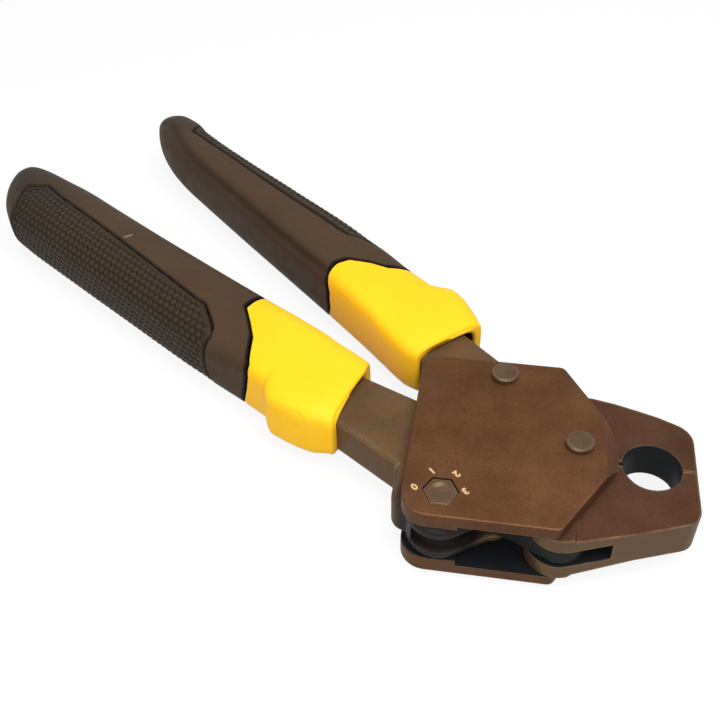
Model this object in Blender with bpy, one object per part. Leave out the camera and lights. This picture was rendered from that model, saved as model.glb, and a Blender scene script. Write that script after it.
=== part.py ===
"""Compact crimping pliers for copper pipe rings: a fixed and a moving jaw between two side
plates, closed by a toggle link that the lower handle drives.

Units are metres. The plan is drawn about the centre of the crimping bore, +X towards the jaw
tips, +Z up through the side plates, and the whole tool is then moved so that its origin is
at the middle of the bottom of its bounding box.
"""
import math

import bmesh
import bpy
from mathutils import Vector

MM = 0.001
GAP = 0.3 * MM
ARC_STEP = math.radians(12)

# Crimping jaws
BORE_R = 9.0 * MM
JAW_TIP_X = 13.5 * MM
JAW_TIP_CORNER_R = 6.0 * MM
JAW_SIDE_ANGLE = math.radians(20.8)
JAW_SIDE_Y = 29.8 * MM
JAW_SIDE_AT_X = -14.0 * MM
JAW_HALF = 8.9 * MM
JAW_STEP_HALF = 7.9 * MM
JAW_TIP_HALF = 6.4 * MM
JAW_STEP_X = -24.0 * MM
JAW_STEP_RUN = 1.3 * MM
JAW_TAPER_END_X = -4.5 * MM
JAW_REAR_ANGLE = math.radians(28)
JAW_RELIEF = 0.7 * MM
JAW_RELIEF_END = 1.7 * MM
JAW_EDGE = 0.5 * MM
PIVOT_X = -23.0 * MM
PIVOT_BOSS_R = 9.2 * MM
PIVOT_SHOULDER_R = 5.0 * MM

# Outer side of the fixed upper jaw, an arc that its forked end touches from the inside
UPPER_JAW_ARC_R = 70.8 * MM
UPPER_JAW_CREST_X = -22.6 * MM
UPPER_JAW_CREST_Y = 26.8 * MM
UPPER_TIP_CORNER_R = 8.0 * MM

# Forked rear end of each jaw
FORK_PIN_X = -27.6 * MM
FORK_PIN_Y = 24.8 * MM
UPPER_FORK_PIN_X = -31.0 * MM
FORK_R = 9.4 * MM
SLOT_HALF = 3.4 * MM
SLOT_END_X = -11.8 * MM
SLOT_TOP_RUN = 10.0 * MM
FORK_PIN_R = 3.0 * MM
FORK_PIN_HALF = JAW_HALF - 0.2 * MM

# Handle bars
BAR_HALF = 7.2 * MM
BAR_EDGE = 2.2 * MM
HUB_R = 10.2 * MM
HUB_CORE_R = 6.9 * MM
KNEE_LOBE_R = 9.8 * MM
HEEL_X = -78.4 * MM
HEEL_TOP_Y = -10.6 * MM
HEEL_LOW_Y = -24.2 * MM
TANG_HALF = 8.0 * MM
UPPER_TANG_OUT = 4.0 * MM
TANG_END = 112.0 * MM

# Side plates
PLATE_THIN_IN = JAW_HALF + 0.4 * MM
PLATE_OUT = PLATE_THIN_IN + 4.3 * MM
PLATE_PAD_IN = BAR_HALF + GAP
PLATE_REAR_X = -74.8 * MM
PLATE_HALF_Y = 33.9 * MM
PLATE_FRONT_HALF_Y = 4.8 * MM
PLATE_DIAG_ANGLE = math.radians(58.7)
PLATE_CHAMFER_X = -15.0 * MM
PLATE_CHAMFER = 4.6 * MM
PLATE_NEAR_CORNER_R = 8.0 * MM
PLATE_FAR_CORNER_R = 3.0 * MM
PLATE_FRONT_CORNER_R = 2.5 * MM
PLATE_EDGE = 0.5 * MM
PAD_X = -57.3 * MM
PAD_FAR_X = -42.5 * MM
PAD_FAR_Y = 15.0 * MM

# Rivets
RIVET_SHANK_R = 3.3 * MM
RIVET_HEAD_R = 4.4 * MM
RIVET_HEAD_H = 1.6 * MM
RIVET_HEAD_EDGE = 0.5 * MM
HANDLE_RIVET_X = -47.3 * MM
HANDLE_RIVET_INSET = 6.7 * MM

# Eccentric adjusting pin that the lower handle turns on
HUB_X = -63.3 * MM
HUB_INSET = 9.5 * MM
HEX_R = 5.5 * MM
HEX_RECESS = 0.35 * MM
HEX_DISH = 0.45 * MM
ECCENTRICITY = 0.4 * MM
ECCENTRIC_R = 4.2 * MM
JOURNAL_R = 3.4 * MM
JOURNAL_OUT = RIVET_HEAD_H
RING_GROOVE_R = 2.6 * MM
RING_OUT_R = 5.4 * MM
RING_THICK = 0.8 * MM
RING_MOUTH = math.radians(62)

# Toggle: crank on the lower handle, and the link to the lower jaw
CRANK = 16.0 * MM
CRANK_ANGLE = math.radians(30)
KNEE_PIN_R = 3.0 * MM
LINK_KNEE_R = 8.0 * MM
LINK_FORK_R = 8.8 * MM
LINK_WAIST = 1.2 * MM
LINK_EDGE = 0.7 * MM
LINK_EYE_CLEAR = 1.9 * MM

# Handles: origin on the axis at the joint between collar and grip, direction of the axis,
# the side that faces away from the other handle, and the bar's two walls inside the collar
LOWER_ORIGIN = (-140.0 * MM, 44.6 * MM)
LOWER_ANGLE = math.radians(147.2)
LOWER_BAR_OUT = 12.4 * MM
LOWER_BAR_IN = 10.3 * MM
LOWER_BAR_SPREAD = math.radians(9)
UPPER_ORIGIN = (-104.6 * MM, 82.0 * MM)
UPPER_ANGLE = math.radians(136.8)
UPPER_BAR_OUT = 8.5 * MM
UPPER_BAR_IN = 12.5 * MM

# Sleeves of the handles, in millimetres: along the axis, inner edge, outer edge, half
# thickness, squareness. Both collars start alike. The fixed handle's grip is the slimmer.
COLLAR_STATIONS = (
    (-52.0, -12.2, 15.6, 9.4, 5.0),
    (-51.0, -13.8, 17.0, 10.6, 5.0),
    (-48.0, -15.4, 18.8, 11.3, 5.0),
    (-43.0, -15.9, 20.0, 11.7, 5.0),
    (-32.0, -15.9, 21.4, 12.1, 5.0),
)
LOWER_STATIONS = (
    (-27.5, -16.1, 18.9, 12.3, 5.0),
    (-25.5, -16.2, 16.6, 12.4, 5.0),
    (-12.0, -16.1, 16.7, 13.0, 4.6),
    (0.0, -16.0, 17.3, 13.5, 4.0),
    (20.0, -16.0, 18.0, 13.8, 3.6),
    (60.0, -16.1, 17.6, 13.8, 3.4),
    (95.0, -16.8, 17.2, 13.5, 3.3),
    (115.0, -17.4, 17.0, 13.2, 3.2),
    (127.0, -17.3, 16.6, 12.7, 3.0),
    (138.0, -17.2, 12.8, 11.9, 2.8),
    (147.0, -17.0, 6.7, 10.4, 2.6),
    (153.5, -16.4, 0.2, 8.4, 2.4),
    (157.5, -14.8, -4.1, 5.7, 2.2),
    (160.0, -12.0, -7.6, 2.1, 2.0),
)
UPPER_STATIONS = (
    (-27.5, -14.9, 17.6, 12.3, 5.0),
    (-23.5, -14.4, 15.1, 12.5, 5.0),
    (-12.0, -14.0, 14.9, 13.0, 4.6),
    (0.0, -13.9, 15.4, 13.5, 4.0),
    (20.0, -13.9, 15.6, 13.8, 3.6),
    (60.0, -13.6, 12.9, 13.8, 3.4),
    (95.0, -13.1, 10.2, 13.5, 3.3),
    (115.0, -12.8, 9.3, 13.2, 3.2),
    (129.0, -11.7, 9.6, 12.7, 3.0),
    (141.5, -9.6, 9.2, 11.9, 2.8),
    (151.5, -6.6, 7.4, 10.4, 2.6),
    (158.0, -4.8, 4.2, 8.4, 2.4),
    (162.5, -3.2, 1.9, 5.7, 2.2),
    (165.0, -1.4, 0.6, 2.1, 2.0),
)
SLEEVE_SIDES = 36
COLLAR_JOINT = ((6.0, -40.0), (6.0, -4.8), (-7.3, 4.0), (-17.0, 16.0), (-28.0, 30.0))
COLLAR_JOINT_GAP = 0.5 * MM
LOWER_PANEL_EDGE = (1.5, -7.0)
UPPER_PANEL_EDGE = (8.7, 3.3)
PANEL_THICK = 2.2 * MM
PANEL_GROOVE = 0.7 * MM


def v2(x, y):
    return Vector((x, y))


def polar(centre, radius, angle):
    return centre + radius * v2(math.cos(angle), math.sin(angle))


BORE = v2(0.0, 0.0)
PIVOT = v2(PIVOT_X, 0.0)
LOWER_FORK = v2(FORK_PIN_X, -FORK_PIN_Y)
UPPER_ARC = v2(UPPER_JAW_CREST_X, UPPER_JAW_CREST_Y - UPPER_JAW_ARC_R)
UPPER_FORK = v2(UPPER_FORK_PIN_X, UPPER_ARC.y + math.sqrt(
    (UPPER_JAW_ARC_R - FORK_R) ** 2 - (UPPER_FORK_PIN_X - UPPER_ARC.x) ** 2))
HANDLE_RIVET = v2(HANDLE_RIVET_X, PLATE_HALF_Y - HANDLE_RIVET_INSET)
HUB = v2(HUB_X, HUB_INSET - PLATE_HALF_Y)
ECCENTRIC = HUB + v2(ECCENTRICITY, 0.0)
KNEE = polar(HUB, CRANK, CRANK_ANGLE)


def arc(centre, radius, start, end):
    """Points of an arc from one angle to another, both ends included."""
    steps = max(2, math.ceil(abs(end - start) / ARC_STEP))
    return [polar(centre, radius, start + (end - start) * i / steps) for i in range(steps + 1)]


def circle(centre, radius, sides=40):
    return [polar(centre, radius, 2 * math.pi * i / sides) for i in range(sides)]


def fillet(before, corner, after, radius):
    """Arc that rounds one corner of an outline."""
    one = (before - corner).normalized()
    two = (after - corner).normalized()
    half = one.angle(two) / 2
    reach = radius / math.tan(half)
    middle = corner + (one + two).normalized() * radius / math.sin(half)
    first = corner + one * reach - middle
    last = corner + two * reach - middle
    turn = first.angle_signed(last)
    steps = max(2, math.ceil(abs(turn) / ARC_STEP))
    start = math.atan2(first.y, first.x)
    return [polar(middle, radius, start - turn * i / steps) for i in range(steps + 1)]


def rounded(corners):
    """Outline from corners given as (point, radius)."""
    points = []
    for i, (corner, radius) in enumerate(corners):
        if radius <= 0:
            points.append(corner)
            continue
        before = corners[i - 1][0]
        after = corners[(i + 1) % len(corners)][0]
        points += fillet(before, corner, after, radius)
    return points


def mirrored(points):
    return [v2(p.x, -p.y) for p in reversed(points)]


def material(name, colour, roughness, metallic):
    made = bpy.data.materials.new(name)
    made.use_nodes = True
    shader = made.node_tree.nodes["Principled BSDF"]
    shader.inputs["Base Color"].default_value = (*colour, 1.0)
    shader.inputs["Roughness"].default_value = roughness
    shader.inputs["Metallic"].default_value = metallic
    return made


def add_object(name, bm):
    """Object from a closed mesh whose faces are turned to point outwards."""
    bmesh.ops.recalc_face_normals(bm, faces=bm.faces)
    mesh = bpy.data.meshes.new(name)
    bm.to_mesh(mesh)
    bm.free()
    mesh.shade_smooth()
    mesh.set_sharp_from_angle(angle=math.radians(35))
    made = bpy.data.objects.new(name, mesh)
    bpy.context.scene.collection.objects.link(made)
    return made


def prism(name, outline, low, high, edge=0.0, steps=2):
    """Upright solid over an outline in plan, its two rims rounded by edge."""
    bm = bmesh.new()
    base = bm.faces.new([bm.verts.new((p.x, p.y, low)) for p in outline])
    top = bmesh.ops.extrude_face_region(bm, geom=[base])["geom"]
    lifted = [part for part in top if isinstance(part, bmesh.types.BMVert)]
    bmesh.ops.translate(bm, vec=(0, 0, high - low), verts=lifted)
    if edge > 0:
        rims = [e for e in bm.edges if abs(e.verts[0].co.z - e.verts[1].co.z) < 0.01 * MM]
        bmesh.ops.bevel(bm, geom=rims, offset=edge, segments=steps, profile=0.5,
                        affect="EDGES", clamp_overlap=True)
    return add_object(name, bm)


def side_prism(name, outline, left, right):
    """Solid over an outline in the XZ plane, run along Y."""
    bm = bmesh.new()
    base = bm.faces.new([bm.verts.new((x, left, z)) for x, z in outline])
    far = bmesh.ops.extrude_face_region(bm, geom=[base])["geom"]
    moved = [part for part in far if isinstance(part, bmesh.types.BMVert)]
    bmesh.ops.translate(bm, vec=(0, right - left, 0), verts=moved)
    return add_object(name, bm)


def turned(name, centre, profile, sides=32):
    """Solid of revolution about an upright axis, from (radius, z) points that start and
    end on the axis."""
    bm = bmesh.new()
    verts = [bm.verts.new((radius, 0, z)) for radius, z in profile]
    edges = [bm.edges.new(pair) for pair in zip(verts, verts[1:])]
    bmesh.ops.spin(bm, geom=verts + edges, cent=(0, 0, 0), axis=(0, 0, 1),
                   angle=2 * math.pi, steps=sides, use_merge=True)
    bmesh.ops.remove_doubles(bm, verts=bm.verts, dist=0.001 * MM)
    bmesh.ops.translate(bm, vec=(centre.x, centre.y, 0), verts=bm.verts)
    return add_object(name, bm)


def combine(thing, other, operation):
    """Boolean with a second solid, which becomes a guide that isn't part of the tool."""
    made = thing.modifiers.new(other.name, "BOOLEAN")
    made.operation = operation
    made.solver = "EXACT"
    made.object = other
    other.hide_render = True
    other.display_type = "WIRE"
    return thing


def cut(thing, *others):
    for other in others:
        combine(thing, other, "DIFFERENCE")
    return thing


def hole(name, centre, radius):
    return prism(name, circle(centre, radius), -2 * PLATE_OUT, 2 * PLATE_OUT)


def pin(name, centre, radius, half, edge=0.4 * MM):
    profile = ((0, -half), (radius - edge, -half), (radius, edge - half),
               (radius, half - edge), (radius - edge, half), (0, half))
    return turned(name, centre, profile)


# Side plates

def plate_outline():
    front_x = PLATE_CHAMFER_X + PLATE_CHAMFER
    front_y = PLATE_FRONT_HALF_Y
    diagonal_x = front_x - (PLATE_HALF_Y - front_y) / math.tan(PLATE_DIAG_ANGLE)
    return rounded((
        (v2(PLATE_REAR_X, -PLATE_HALF_Y), PLATE_NEAR_CORNER_R),
        (v2(diagonal_x, -PLATE_HALF_Y), PLATE_FRONT_CORNER_R),
        (v2(front_x, -front_y), 0),
        (v2(front_x, front_y), 0),
        (v2(diagonal_x, PLATE_HALF_Y), PLATE_FRONT_CORNER_R),
        (v2(PLATE_REAR_X, PLATE_HALF_Y), PLATE_FAR_CORNER_R),
    ))


def thin_area():
    """Area in front of the pads, where the plates are cut back to make room for the jaws."""
    past = 10 * MM
    return [v2(PAD_X, -PLATE_HALF_Y - past), v2(0, -PLATE_HALF_Y - past),
            v2(0, PLATE_HALF_Y + past), v2(PAD_FAR_X, PLATE_HALF_Y + past),
            v2(PAD_FAR_X, PAD_FAR_Y), v2(PAD_X, PAD_FAR_Y)]


def side_plate(name, side):
    """One plate, above the middle plane for side 1 and below it for side -1."""
    low, high = sorted((side * PLATE_PAD_IN, side * PLATE_OUT))
    plate = prism(name, plate_outline(), low, high, PLATE_EDGE)
    inner, middle = sorted((side * (PLATE_PAD_IN - MM), side * PLATE_THIN_IN))
    wide = 3 * PLATE_HALF_Y
    past = 2 * PLATE_CHAMFER
    slope = ((PLATE_CHAMFER_X - past, side * (PLATE_OUT + past)),
             (PLATE_CHAMFER_X + past, side * (PLATE_OUT - past)),
             (PLATE_CHAMFER_X + past, side * (PLATE_OUT + past)))
    cut(plate, prism(name + "_jaw_room", thin_area(), inner, middle),
        side_prism(name + "_front_slope", slope, -wide, wide),
        hole(name + "_pivot_hole", PIVOT, RIVET_SHANK_R + GAP),
        hole(name + "_rivet_hole", HANDLE_RIVET, RIVET_SHANK_R + GAP))
    if side > 0:
        socket = [polar(HUB, HEX_R + GAP, math.pi * i / 3) for i in range(6)]
        cut(plate, prism(name + "_hex_socket", socket, 0, 2 * PLATE_OUT))
    else:
        cut(plate, hole(name + "_journal_hole", HUB, JOURNAL_R + GAP))
    return plate


# Jaws

def jaw_side_line(y_sign):
    """Point on the flat outer side of a jaw, the side's direction to the rear, and the
    direction into the jaw."""
    point = v2(JAW_SIDE_AT_X, y_sign * JAW_SIDE_Y)
    along = v2(-math.cos(JAW_SIDE_ANGLE), y_sign * math.sin(JAW_SIDE_ANGLE))
    inward = v2(-math.sin(JAW_SIDE_ANGLE), -y_sign * math.cos(JAW_SIDE_ANGLE))
    return point, along, inward


def jaw_front(boss_end):
    """Lower jaw's outline from the mating face, round half the bore and the relief behind
    it, to the end of the pivot boss."""
    half_gap = GAP / 2
    bore_start = -math.asin(half_gap / BORE_R)
    bore_end = -math.pi + math.asin(JAW_RELIEF / BORE_R)
    boss_start = -math.asin(JAW_RELIEF_END / PIVOT_BOSS_R)
    front = [v2(JAW_TIP_X, -half_gap)]
    front += arc(BORE, BORE_R, bore_start, bore_end)
    return front + arc(PIVOT, PIVOT_BOSS_R, boss_start, boss_end)


def lower_jaw_outline():
    point, along, inward = jaw_side_line(-1)
    tip_corner = point + along * ((JAW_TIP_X - point.x) / along.x)
    side_angle = math.atan2(-inward.y, -inward.x)
    outline = jaw_front(math.pi + JAW_REAR_ANGLE)
    outline += arc(LOWER_FORK, FORK_R, math.radians(160), side_angle + 2 * math.pi)
    outline += fillet(point, tip_corner, v2(JAW_TIP_X, 0), JAW_TIP_CORNER_R)
    return outline


def upper_jaw_outline():
    way = UPPER_FORK - UPPER_ARC
    touch = math.atan2(way.y, way.x)
    reach = JAW_TIP_X - UPPER_TIP_CORNER_R - UPPER_ARC.x
    corner_way = math.acos(reach / (UPPER_JAW_ARC_R - UPPER_TIP_CORNER_R))
    corner = polar(UPPER_ARC, UPPER_JAW_ARC_R - UPPER_TIP_CORNER_R, corner_way)
    outline = mirrored(jaw_front(math.pi + JAW_REAR_ANGLE))
    outline += arc(corner, UPPER_TIP_CORNER_R, 0, corner_way)
    steps = 6
    for i in range(1, steps):
        outline.append(polar(UPPER_ARC, UPPER_JAW_ARC_R,
                             corner_way + (touch - corner_way) * i / steps))
    return outline + arc(UPPER_FORK, FORK_R, touch, math.radians(205))


def jaw_thickness():
    """Side view of a jaw: thick between the plates, a small step, then a taper to the
    tips."""
    half = ((JAW_STEP_X, JAW_HALF), (JAW_STEP_X + JAW_STEP_RUN, JAW_STEP_HALF),
            (JAW_TAPER_END_X, JAW_TIP_HALF), (2 * JAW_TIP_X, JAW_TIP_HALF))
    far = 4 * JAW_STEP_X
    return [(far, -JAW_HALF)] + [(x, -z) for x, z in half] + [
        (x, z) for x, z in reversed(half)] + [(far, JAW_HALF)]


def upper_slot():
    """Slot in the fixed jaw's fork, open at the rear for the handle's tongue."""
    way = (HANDLE_RIVET - UPPER_FORK).normalized()
    beside = v2(-way.y, way.x)
    round_end = LINK_FORK_R + 2 * GAP
    past = 40 * MM
    back = math.atan2(way.y, way.x)
    front = arc(UPPER_FORK, round_end, back - math.pi / 2, back - 3 * math.pi / 2)
    return front + [UPPER_FORK + beside * round_end + way * past,
                    UPPER_FORK - beside * round_end + way * past]


def lower_slot():
    """Slot that makes the fork: milled from the outer side, and open at the rear for the
    link."""
    point, along, inward = jaw_side_line(-1)
    start = point + along * ((SLOT_END_X - point.x) / along.x)
    depth = (LOWER_FORK - point).dot(inward) + LINK_FORK_R + 2 * LINK_EYE_CLEAR
    past = 40 * MM
    link_way = (KNEE - LOWER_FORK).normalized()
    beside = v2(link_way.y, -link_way.x)
    swing = LOWER_FORK + beside * (LINK_FORK_R + LINK_EYE_CLEAR)
    return [start - inward * past, start + inward * depth,
            start + inward * depth + along * SLOT_TOP_RUN,
            swing + link_way * past, LOWER_FORK + along * past - inward * past]


def jaw(name, side):
    """Upper jaw for side 1 and lower jaw for side -1."""
    outline = upper_jaw_outline() if side > 0 else lower_jaw_outline()
    slot = upper_slot() if side > 0 else lower_slot()
    body = prism(name, outline, -2 * JAW_HALF, 2 * JAW_HALF)
    profile = side_prism(name + "_thickness", jaw_thickness(), -3 * PLATE_HALF_Y, 3 * PLATE_HALF_Y)
    combine(body, profile, "INTERSECT")
    other_half = sorted((side * GAP / 2, -side * 3 * JAW_HALF))
    lap = prism(name + "_lap", circle(PIVOT, PIVOT_BOSS_R + GAP), *other_half)
    fork = LOWER_FORK if side < 0 else UPPER_FORK
    cut(body, lap, prism(name + "_slot", slot, -SLOT_HALF, SLOT_HALF),
        hole(name + "_pivot_hole", PIVOT, PIVOT_SHOULDER_R + GAP),
        hole(name + "_pin_hole", fork, FORK_PIN_R + GAP))
    return body


# Rivets and pins

def shouldered_rivet(name, centre, shoulder_r, shoulder_half):
    """Headed rivet with a thicker middle that the piece between the plates sits on."""
    under = PLATE_OUT + GAP
    top = under + RIVET_HEAD_H
    half = [(shoulder_r, shoulder_half), (RIVET_SHANK_R, shoulder_half), (RIVET_SHANK_R, under),
            (RIVET_HEAD_R, under), (RIVET_HEAD_R, top - RIVET_HEAD_EDGE),
            (RIVET_HEAD_R - RIVET_HEAD_EDGE, top), (0, top)]
    profile = [(r, -z) for r, z in reversed(half)] + half
    return turned(name, centre, profile)


def adjusting_pin(name):
    """Hexagon head in the upper plate, eccentric middle in the handle's hub, and a grooved
    journal in the lower plate."""
    head_top = PLATE_OUT - HEX_RECESS
    head_low = PLATE_PAD_IN + GAP
    hexagon = [polar(HUB, HEX_R, math.pi * i / 3) for i in range(6)]
    head = prism(name, hexagon, head_low, head_top, 0.3 * MM, 1)
    body = prism(name + "_eccentric", circle(ECCENTRIC, ECCENTRIC_R), -PLATE_PAD_IN, head_low + MM)
    ring_z = -(PLATE_OUT + GAP)
    end_z = ring_z - JOURNAL_OUT
    journal = ((0, -PLATE_PAD_IN + MM), (JOURNAL_R, -PLATE_PAD_IN + MM), (JOURNAL_R, ring_z),
               (RING_GROOVE_R, ring_z), (RING_GROOVE_R, ring_z - RING_THICK - GAP),
               (JOURNAL_R, ring_z - RING_THICK - GAP), (JOURNAL_R, end_z), (0, end_z))
    combine(head, body, "UNION")
    combine(head, turned(name + "_journal", HUB, journal), "UNION")
    dish = ((0, head_top - HEX_DISH), (2.2 * MM, head_top - 0.35 * MM),
            (3.6 * MM, head_top + 0.01 * MM), (3.6 * MM, head_top + MM), (0, head_top + MM))
    return cut(head, turned(name + "_dish", HUB, dish))


def retaining_ring(name):
    """Open ring that snaps into the journal's groove under the lower plate."""
    inner = RING_GROOVE_R + GAP
    outline = arc(HUB, RING_OUT_R, RING_MOUTH / 2, 2 * math.pi - RING_MOUTH / 2)
    outline += arc(HUB, inner, 2 * math.pi - RING_MOUTH / 2, RING_MOUTH / 2)
    top = -(PLATE_OUT + GAP) - GAP / 2
    return prism(name, outline, top - RING_THICK, top)


# Toggle link

def link_outline():
    way = LOWER_FORK - KNEE
    angle = math.atan2(way.y, way.x)
    side = v2(-math.sin(angle), math.cos(angle))
    middle = KNEE + way * 0.5
    width = (LINK_KNEE_R + LINK_FORK_R) / 2 - LINK_WAIST
    turn = math.radians(78)
    outline = arc(LOWER_FORK, LINK_FORK_R, angle - turn, angle + turn)
    outline.append(middle + side * width)
    outline += arc(KNEE, LINK_KNEE_R, angle + math.pi - turn, angle + math.pi + turn)
    outline.append(middle - side * width)
    return outline


def toggle_link(name):
    half = SLOT_HALF - GAP
    link = prism(name, link_outline(), -half, half, LINK_EDGE, 1)
    return cut(link, hole(name + "_knee_hole", KNEE, KNEE_PIN_R + GAP),
               hole(name + "_fork_eye", LOWER_FORK, FORK_PIN_R + LINK_EYE_CLEAR))


# Handles

class Handle:
    """Frame of one handle: s runs out along its axis, t to the side away from the other
    handle."""

    def __init__(self, name, origin, angle, side, stations, panel_edge):
        self.name = name
        self.stations = COLLAR_STATIONS + stations
        self.panel_edge = panel_edge
        self.origin = v2(*origin)
        self.along = v2(math.cos(angle), math.sin(angle))
        self.out = side * v2(-math.sin(angle), math.cos(angle))

    def at(self, s, t):
        return self.origin + s * self.along + t * self.out

    def plan(self, pairs, shift=0.0):
        return [self.at(s * MM + shift, t * MM) for s, t in pairs]


LOWER = Handle("lower", LOWER_ORIGIN, LOWER_ANGLE, 1, LOWER_STATIONS, LOWER_PANEL_EDGE)
UPPER = Handle("upper", UPPER_ORIGIN, UPPER_ANGLE, -1, UPPER_STATIONS, UPPER_PANEL_EDGE)


def lower_tang(grow=0.0):
    """Part of the lower bar inside the collar and grip, from its front outer corner round
    the tang to its front inner corner."""
    front = -56 * MM
    inner = LOWER_BAR_IN - (front + 48 * MM) * math.tan(LOWER_BAR_SPREAD)
    return [(front, LOWER_BAR_OUT + grow), (-30 * MM + grow, LOWER_BAR_OUT + grow),
            (-25 * MM + grow, TANG_HALF + grow), (TANG_END + grow, TANG_HALF + grow),
            (TANG_END + grow, -TANG_HALF - grow), (-33.5 * MM + grow, -TANG_HALF - grow),
            (front, -inner - grow)]


def upper_tang(grow=0.0):
    front = -56 * MM
    return [(front, UPPER_BAR_OUT + grow), (-24 * MM + grow, UPPER_BAR_OUT + grow),
            (-18 * MM + grow, UPPER_TANG_OUT + grow), (TANG_END + grow, UPPER_TANG_OUT + grow),
            (TANG_END + grow, -TANG_HALF - grow), (-20 * MM + grow, -TANG_HALF - grow),
            (-27 * MM + grow, -UPPER_BAR_IN - grow), (front, -UPPER_BAR_IN - grow)]


def lower_bar(name):
    """Bar of the lower handle, with the forked hub that turns on the adjusting pin and the
    crank that carries the knee pin."""
    outline = [LOWER.at(s, t) for s, t in reversed(lower_tang())]
    near = v2(HEEL_X, HEEL_TOP_Y)
    low = v2(HEEL_X, HEEL_LOW_Y)
    outline.append(near)
    hub_arc = arc(HUB, HUB_R, math.radians(192), math.radians(296))
    outline += fillet(near, low, hub_arc[0], 4.5 * MM)
    outline += hub_arc
    outline += arc(KNEE, KNEE_LOBE_R, math.radians(-82), math.radians(88))
    far_a = LOWER.at(*lower_tang()[-1])
    slope = v2(math.cos(LOWER_ANGLE + math.pi + LOWER_BAR_SPREAD),
               math.sin(LOWER_ANGLE + math.pi + LOWER_BAR_SPREAD))
    shoulder = far_a + slope * 33 * MM
    outline += fillet(outline[-1], shoulder, far_a, 12 * MM)
    bar = prism(name, outline, -BAR_HALF, BAR_HALF, BAR_EDGE, 3)
    slot = arc(HUB, HUB_CORE_R, math.radians(85), math.radians(-158))
    slot += [v2(HEEL_X - 5 * MM, -60 * MM), v2(-20 * MM, -60 * MM), v2(-20 * MM, 12 * MM),
             v2(HUB_X + 2 * MM, 12 * MM)]
    return cut(bar, prism(name + "_slot", slot, -SLOT_HALF, SLOT_HALF),
               hole(name + "_hub_hole", ECCENTRIC, ECCENTRIC_R + GAP),
               hole(name + "_knee_hole", KNEE, KNEE_PIN_R + GAP))


def upper_bar(name):
    """Bar of the fixed handle: riveted between the plates, its tongue pinned in the upper
    jaw's fork."""
    nose_r = (HANDLE_RIVET - UPPER_FORK).length - FORK_R - 2 * GAP
    outline = [UPPER.at(s, t) for s, t in upper_tang()]
    back = math.atan2(UPPER.along.y, UPPER.along.x)
    outline += arc(HANDLE_RIVET, nose_r, back + math.radians(85), back + math.radians(275))
    bar = prism(name, outline, -BAR_HALF, BAR_HALF, BAR_EDGE, 3)
    way = UPPER_FORK - HANDLE_RIVET
    angle = math.atan2(way.y, way.x)
    turn = math.radians(95)
    tongue = arc(UPPER_FORK, LINK_FORK_R, angle - turn, angle + turn)
    tongue += [HANDLE_RIVET + polar(v2(0, 0), LINK_KNEE_R, angle + math.pi / 2),
               HANDLE_RIVET + polar(v2(0, 0), LINK_KNEE_R, angle - math.pi / 2)]
    half = SLOT_HALF - GAP
    combine(bar, prism(name + "_tongue", tongue, -half, half), "UNION")
    return cut(bar, hole(name + "_rivet_hole", HANDLE_RIVET, RIVET_SHANK_R + 2 * GAP + MM),
               hole(name + "_pin_hole", UPPER_FORK, FORK_PIN_R + GAP))


def sleeve(handle, name, inset=0.0):
    """Lofted skin of a handle's collar and grip, or of the core under its panel."""
    bm = bmesh.new()
    rings = []
    for s, t_in, t_out, half, square in handle.stations:
        centre = (t_in + t_out) / 2 * MM
        wide = max((t_out - t_in) / 2 * MM - inset, 0.4 * MM)
        tall = max(half * MM - inset, 0.4 * MM)
        ring = []
        for i in range(SLEEVE_SIDES):
            turn = 2 * math.pi * i / SLEEVE_SIDES
            across, up = math.cos(turn), math.sin(turn)
            t = centre + wide * math.copysign(abs(across) ** (2 / square), across)
            z = tall * math.copysign(abs(up) ** (2 / square), up)
            spot = handle.at(s * MM, t)
            ring.append(bm.verts.new((spot.x, spot.y, z)))
        rings.append(ring)
    for ring, after in zip(rings, rings[1:]):
        for i in range(SLEEVE_SIDES):
            j = (i + 1) % SLEEVE_SIDES
            bm.faces.new((ring[i], ring[j], after[j], after[i]))
    bm.faces.new(rings[0])
    bm.faces.new(rings[-1])
    return add_object(name, bm)


def joint_area(handle, forward, shift):
    """Area in front of or behind the slanting joint between collar and grip."""
    line = handle.plan(COLLAR_JOINT, shift)
    end = -90 * MM if forward else 220 * MM
    return line + [handle.at(end, 30 * MM), handle.at(end, -40 * MM)]


def pocket(handle, name, tang):
    walls = [handle.at(s, t) for s, t in tang(GAP)]
    return prism(name, walls, -BAR_HALF - GAP, BAR_HALF + GAP)


def collar(handle, name, tang):
    body = sleeve(handle, name)
    area = joint_area(handle, True, -COLLAR_JOINT_GAP / 2)
    combine(body, prism(name + "_end", area, -PLATE_OUT * 2, PLATE_OUT * 2), "INTERSECT")
    return cut(body, pocket(handle, name + "_pocket", tang))


def panel_area(handle, grow):
    """Outline of the textured panel, made wider by grow on its free edges."""
    front, rear = handle.panel_edge
    points = handle.plan((
        (1.0, front + 38.5), (3.0, front + 17.5), (8.5, front + 8.5), (21.0, front),
        (76.0, (front + rear) / 2), (131.0, rear), (138.5, rear + 5.5),
        (133.0, rear + 21.0), (128.0, rear + 47.0)))
    middle = handle.at(70 * MM, 20 * MM)
    return [p + (p - middle).normalized() * grow for p in points]


def grip(handle, name, tang):
    body = sleeve(handle, name)
    area = joint_area(handle, False, COLLAR_JOINT_GAP / 2)
    combine(body, prism(name + "_end", area, -PLATE_OUT * 2, PLATE_OUT * 2), "INTERSECT")
    recess = prism(name + "_recess", panel_area(handle, PANEL_GROOVE), -PLATE_OUT * 2, PLATE_OUT * 2)
    cut(recess, sleeve(handle, name + "_core", PANEL_THICK + GAP))
    return cut(body, recess, pocket(handle, name + "_pocket", tang))


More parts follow.
